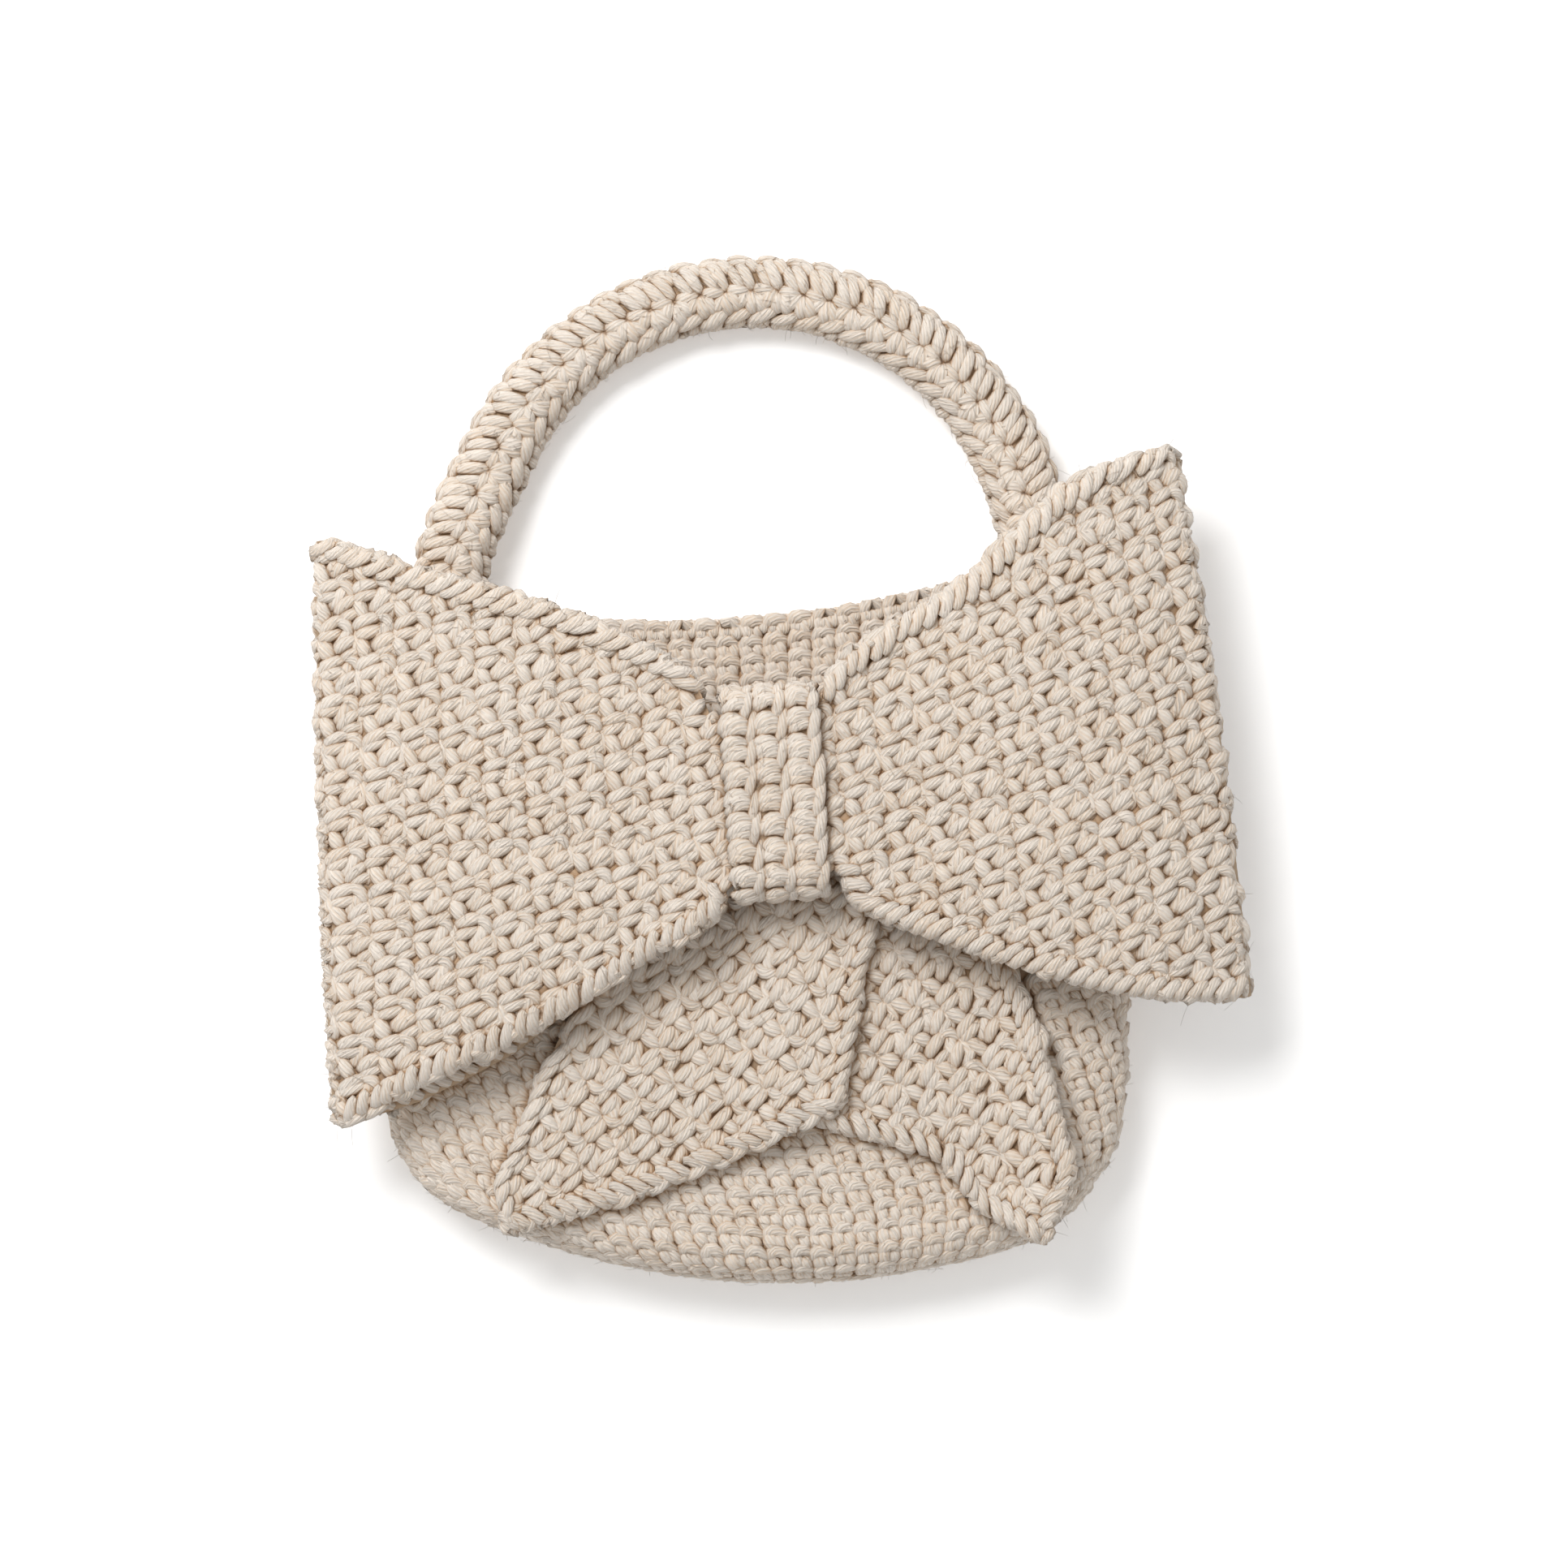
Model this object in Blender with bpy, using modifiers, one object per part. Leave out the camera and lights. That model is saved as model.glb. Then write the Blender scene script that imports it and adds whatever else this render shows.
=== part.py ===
"""Crocheted bag with a padded arch handle and a large bow, lying on its back.

The pouch is a hollow shell that is open at the top. The handle's feet lie in
its mouth. On its front lie two tails, then a loop of the same crochet pinched
to a bow by a band that goes once round its waist.

Metres, +Z up. The bag lies on the plane z = 0 with its mouth towards +Y. The
origin is on that plane, under the middle of the whole bag.
"""
import math
from collections import namedtuple

import bmesh
import bpy
from mathutils import Matrix, Vector

COLLECTION = "crochet_bag"

# Gap between pieces that lie on each other
CLEARANCE = 0.0004

# Pouch, seen from the front: width, height and the curves of its two ends
BODY_WIDTH = 0.2052
BODY_HEIGHT = 0.1989
BODY_WALL = 0.0045
BODY_CROWN = 0.0020
BODY_X = -0.0076
BODY_BOTTOM_Y = -0.1411
RIM_DIP = 0.0167
RIM_SLANT = 0.0090
FRONT_DIP = 0.0220
TOE_RISE = 0.0142
TOE_SLANT = -0.0036
BODY_COLUMNS_FLAT = 18
BODY_COLUMNS_SIDE = 6
BODY_ROWS_STRAIGHT = 20
BODY_ROWS_TOE = 6

# Handle: a round arch on two legs that spread, then run down inside the mouth
HANDLE_WIDTH = 0.0202
HANDLE_THICKNESS = 0.0142
HANDLE_INSET = 0.0248
HANDLE_SIDE = -0.0009
HANDLE_ARC_LEFT = math.radians(65.0)
HANDLE_ARC_RIGHT = math.radians(75.0)
HANDLE_SPREAD_LENGTH = 0.0210
HANDLE_BEND_RADIUS = 0.0450
HANDLE_INSIDE = 0.0260
HANDLE_CENTRE_RISE = 0.0130
HANDLE_SET_DOWN_START = 0.0060
HANDLE_SET_DOWN_LENGTH = 0.0420
HANDLE_STEP = 0.0065
HANDLE_BEVEL_RESOLUTION = 5

# Bow: its knot lies this far below the middle of the back rim
KNOT_DROP = 0.0476
KNOT_SIDE = 0.0049
BOW_LENGTH = 0.2530
BOW_HEIGHT = 0.1580
BOW_WALL = 0.0038
BOW_TILT = math.radians(6.5)
BOW_LAYER_GAP = 0.0006
WING_PUFF = 0.0140
WING_END_BULGE = 0.0015
WING_BACK_PEEK = 0.0052
WING_DROOP = 0.0050
WING_DROOP_REACH = 0.0460
WING_DROOP_INSET = 0.0120
WING_EDGE_CLOSE = 0.25
BOW_ROWS = 12

# Band round the waist of the bow
BAND_WIDTH = 0.0262
BAND_HEIGHT = 0.0575
BAND_WALL = 0.0035
BAND_BEND_RADIUS = 0.0030
BAND_TILT = math.radians(3.8)
BAND_ROWS = 4
BAND_COLUMNS_FLAT = 8
BAND_COLUMNS_END = 7

# Tails that hang from the knot
TAIL_LENGTH = 0.1220
TAIL_WIDTH = 0.0830
TAIL_WALL = 0.0038
TAIL_COLUMNS = 14
TAIL_ROWS = 12
TAIL_RAMP = 0.0160
TAIL_DROOP = 0.0030
TAIL_END_BULGE = 0.0032
LOBE_HOLLOW = 0.0080
LOBE_START = 0.58
LOBE_SLOPE = 0.14
ROLL_LIFT = 0.0075

YARN_COLOUR = (0.645, 0.540, 0.450, 1.0)
YARN_ROUGHNESS = 0.95

# Pouch sections from the rim (0) to the toe (1): width is a share of the full
# width, lean how far the section's middle lies to the right, as a share of half of it
BodyRow = namedtuple("BodyRow", "down width lean")
BODY_SECTIONS = (
    BodyRow(0.00, 0.985, 0.000),
    BodyRow(0.50, 1.000, 0.000),
    BodyRow(0.75, 0.995, 0.000),
    BodyRow(0.85, 0.980, -0.004),
    BodyRow(0.91, 0.932, -0.015),
    BodyRow(0.96, 0.852, -0.020),
    BodyRow(1.00, 0.740, -0.020),
)

# Handle sections from the top of the arch (0) to a foot (1): share of its full width
HandleRow = namedtuple("HandleRow", "down width")
HANDLE_SECTIONS = (
    HandleRow(0.00, 0.92),
    HandleRow(0.30, 0.95),
    HandleRow(0.60, 1.00),
    HandleRow(1.00, 1.00),
)

# Outer corners of the wings, as shares of half the bow's length and height
WingCorner = namedtuple("WingCorner", "along across")
WING_CORNERS = {
    (-1, 1): WingCorner(0.929, 1.051),
    (-1, -1): WingCorner(1.035, 0.978),
    (1, 1): WingCorner(0.953, 1.033),
    (1, -1): WingCorner(0.984, 0.896),
}

# Wing sections from the waist (0) to the fold at the end (1). The four middle
# columns say how far each edge has spread from the waist towards its corner,
# peek how far the back layer shows below the left wing. The last two are the
# height above the pouch and the gap between the layers, as shares.
WingRow = namedtuple(
    "WingRow", "out left_top left_bottom right_top right_bottom peek rise puff"
)
WING_SECTIONS = (
    WingRow(0.00, 0.000, 0.000, 0.000, 0.000, 0.00, 1.00, 0.00),
    WingRow(0.03, 0.186, 0.159, 0.130, 0.208, 0.00, 0.99, 0.03),
    WingRow(0.20, 0.390, 0.313, 0.314, 0.413, 0.00, 0.86, 0.30),
    WingRow(0.40, 0.573, 0.521, 0.462, 0.622, 0.10, 0.46, 0.78),
    WingRow(0.60, 0.704, 0.690, 0.727, 0.801, 0.85, 0.18, 1.00),
    WingRow(0.80, 0.839, 0.831, 0.935, 0.939, 0.95, 0.04, 0.95),
    WingRow(1.00, 1.000, 1.000, 1.000, 1.000, 0.00, 0.00, 0.62),
)
WING_STATIONS = (0.03, 0.11, 0.21, 0.32, 0.44, 0.57, 0.70, 0.82, 0.92)
FOLD_ANGLES = (0.0, 30.0, 60.0)

# Tail sections from the knot (0) to the cut end (1): the left and right end of
# each cross line, measured from the knot. x is a share of the tail's width, y of
# its length, downwards.
TailRow = namedtuple("TailRow", "down left_x left_y right_x right_y")
LEFT_TAIL = (
    TailRow(0.00, -0.135, 0.113, 0.308, 0.113),
    TailRow(0.20, -0.290, 0.225, 0.345, 0.280),
    TailRow(0.45, -0.560, 0.400, 0.300, 0.395),
    TailRow(0.70, -0.745, 0.585, 0.265, 0.550),
    TailRow(0.86, -0.855, 0.785, 0.235, 0.660),
    TailRow(0.95, -0.945, 0.935, 0.225, 0.695),
    TailRow(1.00, -0.875, 0.993, 0.215, 0.710),
)
RIGHT_TAIL = (
    TailRow(0.00, 0.082, 0.122, 0.498, 0.179),
    TailRow(0.25, 0.083, 0.270, 0.776, 0.384),
    TailRow(0.50, 0.084, 0.430, 0.884, 0.553),
    TailRow(0.75, 0.084, 0.590, 0.954, 0.756),
    TailRow(0.90, 0.084, 0.690, 0.994, 0.849),
    TailRow(1.00, 0.084, 0.730, 0.893, 1.016),
)


# Heights of the stack, from the plane that the bag lies on
BODY_THICKNESS = HANDLE_THICKNESS + 2.0 * (BODY_WALL + CLEARANCE)
BODY_FRONT = BODY_THICKNESS + BODY_CROWN
RIGHT_TAIL_MIDDLE = BODY_FRONT + CLEARANCE + TAIL_WALL / 2.0
TAIL_STEP = TAIL_WALL + CLEARANCE
BAND_UNDERSIDE = RIGHT_TAIL_MIDDLE + TAIL_STEP + TAIL_WALL / 2.0 + CLEARANCE
BOW_WAIST_MIDDLE = BAND_UNDERSIDE + BAND_WALL + CLEARANCE + BOW_WALL / 2.0
BOW_REST_MIDDLE = BODY_FRONT + CLEARANCE + BOW_WALL / 2.0
WAIST_LAYER_STEP = BOW_WALL + BOW_LAYER_GAP

# Places that follow from the sizes above
RIM_Y = BODY_BOTTOM_Y + BODY_HEIGHT
TOE_SHARE = BODY_THICKNESS / 2.0 / (BODY_HEIGHT - RIM_DIP)
HANDLE_CENTRE_Y = RIM_Y - RIM_DIP + HANDLE_CENTRE_RISE
KNOT = Vector((BODY_X + KNOT_SIDE, RIM_Y - RIM_DIP - KNOT_DROP, 0.0))
WAIST_HALF_HEIGHT = BAND_HEIGHT / 2.0 - BAND_WALL - BAND_BEND_RADIUS / 2.0 - 2.0 * CLEARANCE
WAIST_HALF_LENGTH = BAND_WIDTH / 2.0 + BAND_HEIGHT / 2.0 * abs(math.sin(BOW_TILT - BAND_TILT))


def smooth_step(start, end, value):
    """0 before start, 1 after end and an even S between them."""
    share = min(1.0, max(0.0, (value - start) / (end - start)))
    return share * share * (3.0 - 2.0 * share)


def mix(first, second, share):
    """The value that lies this share of the way from first to second."""
    return first + (second - first) * share


def read_table(table, column, share):
    """One column at a share of the way down a table, on a smooth curve through its rows."""
    places = [row[0] for row in table]
    values = [getattr(row, column) for row in table]
    steps = [
        (values[i + 1] - values[i]) / (places[i + 1] - places[i])
        for i in range(len(places) - 1)
    ]
    slopes = [steps[0]]
    for before, after in zip(steps, steps[1:]):
        same_way = before * after > 0.0
        slopes.append(2.0 * before * after / (before + after) if same_way else 0.0)
    slopes.append(steps[-1])
    last = len(places) - 2
    i = min(last, max(0, sum(share >= place for place in places) - 1))
    width = places[i + 1] - places[i]
    t = (share - places[i]) / width
    return (
        values[i] * (1.0 + 2.0 * t) * (1.0 - t) ** 2
        + slopes[i] * width * t * (1.0 - t) ** 2
        + values[i + 1] * t * t * (3.0 - 2.0 * t)
        + slopes[i + 1] * width * t * t * (t - 1.0)
    )


def yarn_material(name):
    """Matte beige yarn."""
    material = bpy.data.materials.new(name)
    material.use_nodes = True
    shader = material.node_tree.nodes["Principled BSDF"]
    shader.inputs["Base Color"].default_value = YARN_COLOUR
    shader.inputs["Roughness"].default_value = YARN_ROUGHNESS
    shader.inputs["Metallic"].default_value = 0.0
    material.diffuse_color = YARN_COLOUR
    return material


def shaped_sheet(name, collection, columns, rows, place, wall, offset=0.0):
    """A grid whose points go where place(column, row) says, thickened to a wall.

    Columns that come back to their start are welded there.
    """
    mesh = bmesh.new()
    bmesh.ops.create_grid(mesh, x_segments=columns, y_segments=rows, size=0.5)
    for vertex in mesh.verts:
        column = round((vertex.co.x + 0.5) * columns)
        row = round((vertex.co.y + 0.5) * rows)
        vertex.co = place(column, row)
    bmesh.ops.remove_doubles(mesh, verts=mesh.verts, dist=0.00001)
    data = bpy.data.meshes.new(name)
    mesh.to_mesh(data)
    mesh.free()
    data.shade_smooth()
    piece = bpy.data.objects.new(name, data)
    collection.objects.link(piece)
    shell = piece.modifiers.new("wall", "SOLIDIFY")
    shell.thickness = wall
    shell.offset = offset
    shell.use_even_offset = True
    data.materials.append(yarn_material(name))
    return piece


def rim_line(across):
    """Height of the back rim at a share across the pouch, -1 left to 1 right."""
    return RIM_Y + RIM_SLANT * across - RIM_DIP * (1.0 - across * across)


def toe_line(across):
    """Height of the rounded lower edge at a share across the pouch."""
    return BODY_BOTTOM_Y + TOE_SLANT * across + TOE_RISE * across * across


def ring_point(half_width, thickness, column):
    """A point on the flattened ring of one section, and how far round to the front it is."""
    radius = thickness / 2.0
    straight = half_width - radius
    flat, side = BODY_COLUMNS_FLAT, BODY_COLUMNS_SIDE
    column = column % (2 * (flat + side))
    if column <= flat:
        return mix(-straight, straight, column / flat), -radius, 0.0
    if column < flat + side:
        angle = math.pi * (column - flat) / side
        return straight + radius * math.sin(angle), -radius * math.cos(angle), angle / math.pi
    if column <= 2 * flat + side:
        return mix(straight, -straight, (column - flat - side) / flat), radius, 1.0
    angle = math.pi * (column - 2 * flat - side) / side
    return -straight - radius * math.sin(angle), radius * math.cos(angle), 1.0 - angle / math.pi


def body_point(column, row):
    """Outer surface of the pouch, from the rim at row 0 down to the closed toe."""
    if row <= BODY_ROWS_STRAIGHT:
        turn = 0.0
        down = (1.0 - TOE_SHARE) * row / BODY_ROWS_STRAIGHT
    else:
        turn = math.pi / 2.0 * (row - BODY_ROWS_STRAIGHT) / BODY_ROWS_TOE
        down = 1.0 - TOE_SHARE * (1.0 - math.sin(turn))
    half_width = BODY_WIDTH / 2.0 * read_table(BODY_SECTIONS, "width", down)
    lean = BODY_WIDTH / 2.0 * read_table(BODY_SECTIONS, "lean", down)
    thickness = BODY_THICKNESS * max(0.0, math.cos(turn))
    x, z, front = ring_point(half_width, thickness, column)
    across = x / half_width
    rim = rim_line(across) - FRONT_DIP * (1.0 - across * across) * smooth_step(0.0, 1.0, front)
    crown = BODY_CROWN * (1.0 - across * across) * (thickness / BODY_THICKNESS)
    return Vector((
        BODY_X + x + lean,
        mix(rim, toe_line(across), down),
        BODY_THICKNESS / 2.0 + z + (crown if front == 1.0 else 0.0),
    ))


def make_body(collection):
    """Hollow pouch, open at the top."""
    columns = 2 * (BODY_COLUMNS_FLAT + BODY_COLUMNS_SIDE)
    rows = BODY_ROWS_STRAIGHT + BODY_ROWS_TOE
    return shaped_sheet("bag_body", collection, columns, rows, body_point, BODY_WALL, offset=-1.0)


def handle_side(side):
    """One side of the handle's centreline, from the top of the arch down to the foot."""
    arc = HANDLE_ARC_LEFT if side < 0 else HANDLE_ARC_RIGHT
    radius = BODY_WIDTH / 2.0 - HANDLE_INSET
    bend = math.pi / 2.0 - arc
    foot_x = (
        radius * math.sin(arc)
        + HANDLE_SPREAD_LENGTH * math.cos(arc)
        + HANDLE_BEND_RADIUS * (1.0 - math.cos(bend))
    )
    bend_y = (
        radius * math.cos(arc)
        - HANDLE_SPREAD_LENGTH * math.sin(arc)
        - HANDLE_BEND_RADIUS * math.sin(bend)
    )
    rim_y = rim_line((side * foot_x + HANDLE_SIDE) / (BODY_WIDTH / 2.0)) - HANDLE_CENTRE_Y
    stretches = (
        (radius * arc, arc),
        (HANDLE_SPREAD_LENGTH, 0.0),
        (HANDLE_BEND_RADIUS * bend, bend),
        (bend_y - rim_y + HANDLE_INSIDE, 0.0),
    )
    x, y, heading = 0.0, radius, 0.0
    points = [(x, y)]
    for length, turn in stretches:
        count = max(2, round(length / HANDLE_STEP))
        for _ in range(count):
            heading += turn / count / 2.0
            x += length / count * math.cos(heading)
            y -= length / count * math.sin(heading)
            heading += turn / count / 2.0
            points.append((side * x, y))
    return points


def handle_centreline():
    """Left foot to right foot: x, y from the arch's centre and the share of full width."""
    left, right = (
        [
            (x, y, read_table(HANDLE_SECTIONS, "width", i / (len(points) - 1)))
            for i, (x, y) in enumerate(points)
        ]
        for points in (handle_side(-1), handle_side(1))
    )
    return left[:0:-1] + right


def make_handle(collection):
    """Padded tube that lies on the plane at its top and on the back wall in the mouth."""
    outline = handle_centreline()
    flatten = HANDLE_THICKNESS / HANDLE_WIDTH
    curve = bpy.data.curves.new("handle", "CURVE")
    curve.dimensions = "3D"
    curve.bevel_depth = HANDLE_WIDTH / 2.0
    curve.bevel_resolution = HANDLE_BEVEL_RESOLUTION
    curve.use_fill_caps = True
    spline = curve.splines.new("POLY")
    spline.points.add(len(outline) - 1)
    for point, (x, y, width) in zip(spline.points, outline):
        past_rim = HANDLE_CENTRE_Y + y - rim_line((x + HANDLE_SIDE) / (BODY_WIDTH / 2.0))
        lowered = smooth_step(0.0, HANDLE_SET_DOWN_LENGTH, past_rim - HANDLE_SET_DOWN_START)
        z = HANDLE_THICKNESS / 2.0 * width + CLEARANCE + BODY_WALL * (1.0 - lowered)
        point.co = (x, y, z / flatten, 1.0)
        point.radius = width
    curve.materials.append(yarn_material("handle"))
    piece = bpy.data.objects.new("handle", curve)
    piece.location = (BODY_X + HANDLE_SIDE, HANDLE_CENTRE_Y, 0.0)
    piece.scale.z = flatten
    collection.objects.link(piece)
    return piece


def bow_frame(tilt):
    """The turned frame of the bow or band, on the knot."""
    return Matrix.Translation(KNOT) @ Matrix.Rotation(tilt, 4, "Z")


def wing_point(side, layer, out, across, past_fold=0.0):
    """A point in the middle of a wing's wall, in the bow's frame.

    side is -1 left or 1 right, layer 1 front or -1 back, out the share from
    waist to fold, across -1 at the lower edge to 1 at the upper, past_fold the
    angle already turned round the fold.
    """
    name = "left" if side < 0 else "right"
    edge_points = []
    for edge in (-1, 1):
        corner = WING_CORNERS[side, edge]
        spread = read_table(WING_SECTIONS, f"{name}_{'top' if edge > 0 else 'bottom'}", out)
        height = mix(WAIST_HALF_HEIGHT, BOW_HEIGHT / 2.0 * corner.across, spread)
        if layer < 0 and edge < 0 and side < 0:
            height += WING_BACK_PEEK * read_table(WING_SECTIONS, "peek", out)
        edge_points.append((corner.along * BOW_LENGTH / 2.0, edge * height))
    share = (across + 1.0) / 2.0
    end = mix(edge_points[0][0], edge_points[1][0], share)
    end += WING_END_BULGE * (1.0 - across * across)
    close = 1.0 - WING_EDGE_CLOSE * across ** 4
    puff = WING_PUFF * close * read_table(WING_SECTIONS, "puff", out)
    gap = max(WAIST_LAYER_STEP, puff)
    fold_radius = max(WAIST_LAYER_STEP, WING_PUFF * close * WING_SECTIONS[-1].puff) / 2.0
    fold_start = end - BOW_WALL / 2.0 - fold_radius
    along = mix(WAIST_HALF_LENGTH, fold_start, out) + fold_radius * math.sin(past_fold)
    rise = read_table(WING_SECTIONS, "rise", out)
    middle = mix(BOW_REST_MIDDLE, BOW_WAIST_MIDDLE, rise) + gap / 2.0
    return Vector((
        side * along,
        mix(edge_points[0][1], edge_points[1][1], share),
        middle + layer * gap / 2.0 * math.cos(past_fold),
    ))


def bow_point(column, row):
    """The loop's wall: four quarters of waist, wing and fold, front right first."""
    stations = 2 + len(WING_STATIONS) + len(FOLD_ANGLES)
    quarter, step = divmod(column % (4 * stations), stations)
    side, layer = ((1, 1), (1, -1), (-1, -1), (-1, 1))[quarter]
    if quarter in (1, 3):
        step = stations - step
    across = 2.0 * row / BOW_ROWS - 1.0
    if step == 0:
        point = wing_point(side, layer, 0.0, across)
        point.x = 0.0
    elif step == 1:
        point = wing_point(side, layer, 0.0, across)
    elif step < 2 + len(WING_STATIONS):
        point = wing_point(side, layer, WING_STATIONS[step - 2], across)
    elif step < stations:
        turned = math.radians(FOLD_ANGLES[step - 2 - len(WING_STATIONS)])
        point = wing_point(side, layer, 1.0, across, turned)
    else:
        point = wing_point(side, layer, 1.0, across, math.pi / 2.0)
    point = bow_frame(BOW_TILT) @ point
    past_body = abs(point.x - BODY_X) - (BODY_WIDTH / 2.0 - WING_DROOP_INSET)
    point.z -= WING_DROOP * (max(0.0, past_body) / WING_DROOP_REACH) ** 2
    return point


def make_bow(collection):
    """Loop of crochet, flattened: folds at both ends, open along its upper and lower edges."""
    columns = 4 * (2 + len(WING_STATIONS) + len(FOLD_ANGLES))
    return shaped_sheet("bow_loop", collection, columns, BOW_ROWS, bow_point, BOW_WALL)


def band_point(column, row):
    """Middle of the band's wall: flat over the front and back of the waist, bent at the ends."""
    half_height = (BAND_HEIGHT - BAND_WALL) / 2.0
    half_depth = (2.0 * BOW_WALL + BOW_LAYER_GAP + 2.0 * CLEARANCE + BAND_WALL) / 2.0
    radius = BAND_BEND_RADIUS + BAND_WALL / 2.0
    flat, end = BAND_COLUMNS_FLAT, BAND_COLUMNS_END
    half, step = divmod(column % (2 * (flat + end)), flat + end)
    if step <= flat:
        across = mix(-half_height + radius, half_height - radius, step / flat)
        up = half_depth
    else:
        angle = math.pi * (step - flat) / end
        across = half_height - radius + radius * math.sin(angle)
        up = math.copysign(half_depth - radius * (1.0 - abs(math.cos(angle))), math.cos(angle))
    if half:
        across, up = -across, -up
    along = BAND_WIDTH * (row / BAND_ROWS - 0.5)
    middle = BAND_UNDERSIDE + BAND_WALL / 2.0 + half_depth
    return bow_frame(BAND_TILT) @ Vector((along, across, middle + up))


def make_band(collection):
    """Closed band round the waist."""
    columns = 2 * (BAND_COLUMNS_FLAT + BAND_COLUMNS_END)
    return shaped_sheet("bow_band", collection, columns, BAND_ROWS, band_point, BAND_WALL)


def tail_outline(table, column, row):
    """A point of a tail seen from the front, before it is laid on what is under it."""
    down = row / TAIL_ROWS
    share = column / TAIL_COLUMNS
    x = mix(read_table(table, "left_x", down), read_table(table, "right_x", down), share)
    y = mix(read_table(table, "left_y", down), read_table(table, "right_y", down), share)
    return Vector((KNOT.x + TAIL_WIDTH * x, KNOT.y - TAIL_LENGTH * y, 0.0)), share, down


def tail_droop(point):
    """How far a tail sinks where the pouch under it rounds down to its toe."""
    across = (point.x - BODY_X) / (BODY_WIDTH / 2.0)
    down = (rim_line(across) - point.y) / (rim_line(across) - toe_line(across))
    turn = min(1.0, max(0.0, 1.0 - (1.0 - down) / TOE_SHARE))
    fall = BODY_FRONT - BODY_THICKNESS / 2.0 * (1.0 + math.sqrt(1.0 - turn * turn))
    return TAIL_DROOP * smooth_step(BODY_CROWN, BODY_CROWN + 2.0 * TAIL_DROOP, fall)


def left_tail_point(column, row):
    """Lies on the pouch, and steps up over the other tail's inner edge."""
    point, share, down = tail_outline(LEFT_TAIL, column, row)
    point.y -= TAIL_END_BULGE * math.sin(math.pi * share) * down ** 3
    step_end = KNOT.x + TAIL_WIDTH * RIGHT_TAIL[0].left_x - TAIL_WALL / 2.0
    raised = smooth_step(step_end - TAIL_RAMP, step_end, point.x)
    point.z = RIGHT_TAIL_MIDDLE + TAIL_STEP * raised - tail_droop(point)
    return point


def right_tail_point(column, row):
    """Lies on the pouch, its outer edge rolled up below the wing and its end a folded lobe."""
    point, share, down = tail_outline(RIGHT_TAIL, column, row)
    lobe = smooth_step(LOBE_START, LOBE_START + LOBE_SLOPE, share)
    point.y += LOBE_HOLLOW * smooth_step(0.0, LOBE_START, share) * (1.0 - lobe) * down ** 3
    lift = ROLL_LIFT * smooth_step(0.72, 1.0, share) * smooth_step(0.35, 0.7, down)
    point.z = RIGHT_TAIL_MIDDLE + lift - tail_droop(point)
    return point


def make_tails(collection):
    """Two strips that widen from the knot to their slanted ends."""
    for name, place in (("tail_left", left_tail_point), ("tail_right", right_tail_point)):
        shaped_sheet(name, collection, TAIL_COLUMNS, TAIL_ROWS, place, TAIL_WALL)


def clear_scene():
    """Remove what a new file starts with."""
    for existing in list(bpy.data.objects):
        bpy.data.objects.remove(existing, do_unlink=True)


def main():
    clear_scene()
    collection = bpy.data.collections.new(COLLECTION)
    bpy.context.scene.collection.children.link(collection)
    make_body(collection)
    make_handle(collection)
    make_bow(collection)
    make_band(collection)
    make_tails(collection)


main()
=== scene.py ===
"""Looks of a crocheted bag with an arch handle and a big bow, lying on a pale table.

Every stitch is laid as strands of spun yarn on a core cloth painted in the shade of
the creases, piece by piece, in the order in which the bag is put together. Metres,
+Z up.
"""

import math
from collections import namedtuple

import bpy
import numpy as np
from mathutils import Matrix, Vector
from mathutils.bvhtree import BVHTree


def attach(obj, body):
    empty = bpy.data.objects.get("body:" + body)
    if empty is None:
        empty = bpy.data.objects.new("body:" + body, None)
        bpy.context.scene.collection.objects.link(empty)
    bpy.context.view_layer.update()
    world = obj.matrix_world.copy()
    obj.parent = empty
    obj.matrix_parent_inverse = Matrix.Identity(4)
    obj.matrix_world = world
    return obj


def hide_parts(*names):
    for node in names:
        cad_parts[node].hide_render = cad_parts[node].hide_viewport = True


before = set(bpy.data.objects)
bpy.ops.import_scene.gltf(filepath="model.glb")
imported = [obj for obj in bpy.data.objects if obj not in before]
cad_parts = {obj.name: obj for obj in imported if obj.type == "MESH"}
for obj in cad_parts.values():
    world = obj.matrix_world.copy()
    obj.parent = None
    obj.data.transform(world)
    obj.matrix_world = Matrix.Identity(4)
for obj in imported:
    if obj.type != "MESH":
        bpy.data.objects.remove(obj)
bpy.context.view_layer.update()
MM = 0.001


# Table, light and camera: the bag lies on a matt white table under a big soft
# window of light from the upper left, with white walls all round. The camera
# looks straight down from two metres.
TABLE_SIZE = 6.0
TABLE_WHITE = (1.0, 1.0, 1.0, 1.0)
TABLE_ROUGHNESS = 0.9
TABLE_SHINE = 0.1
# The table glows a little of its own: painted light that lifts the shadows on it
TABLE_PAINTED_GLOW = 0.18
ROOM_WHITE = (1.0, 0.995, 0.985, 1.0)
ROOM_STRENGTH = 0.56
WINDOW_PLACE = (-0.65, 0.95, 1.45)
WINDOW_SIZE = 0.8
WINDOW_WATTS = 27.5
CAMERA_PLACE = (0.0, -0.0041, 2.03)
CAMERA_LENS = 167.7

bpy.ops.mesh.primitive_plane_add(size=TABLE_SIZE)
table = bpy.context.object
table.name = "table"
table_paint = bpy.data.materials.new("table_paint")
table_paint.use_nodes = True
paint = table_paint.node_tree.nodes["Principled BSDF"]
paint.inputs["Base Color"].default_value = TABLE_WHITE
paint.inputs["Roughness"].default_value = TABLE_ROUGHNESS
paint.inputs["Specular IOR Level"].default_value = TABLE_SHINE
# Painted light: a faint glow of the table itself, which lifts the shadows that fall on it
paint.inputs["Emission Color"].default_value = TABLE_WHITE
paint.inputs["Emission Strength"].default_value = TABLE_PAINTED_GLOW
table.data.materials.append(table_paint)

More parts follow.
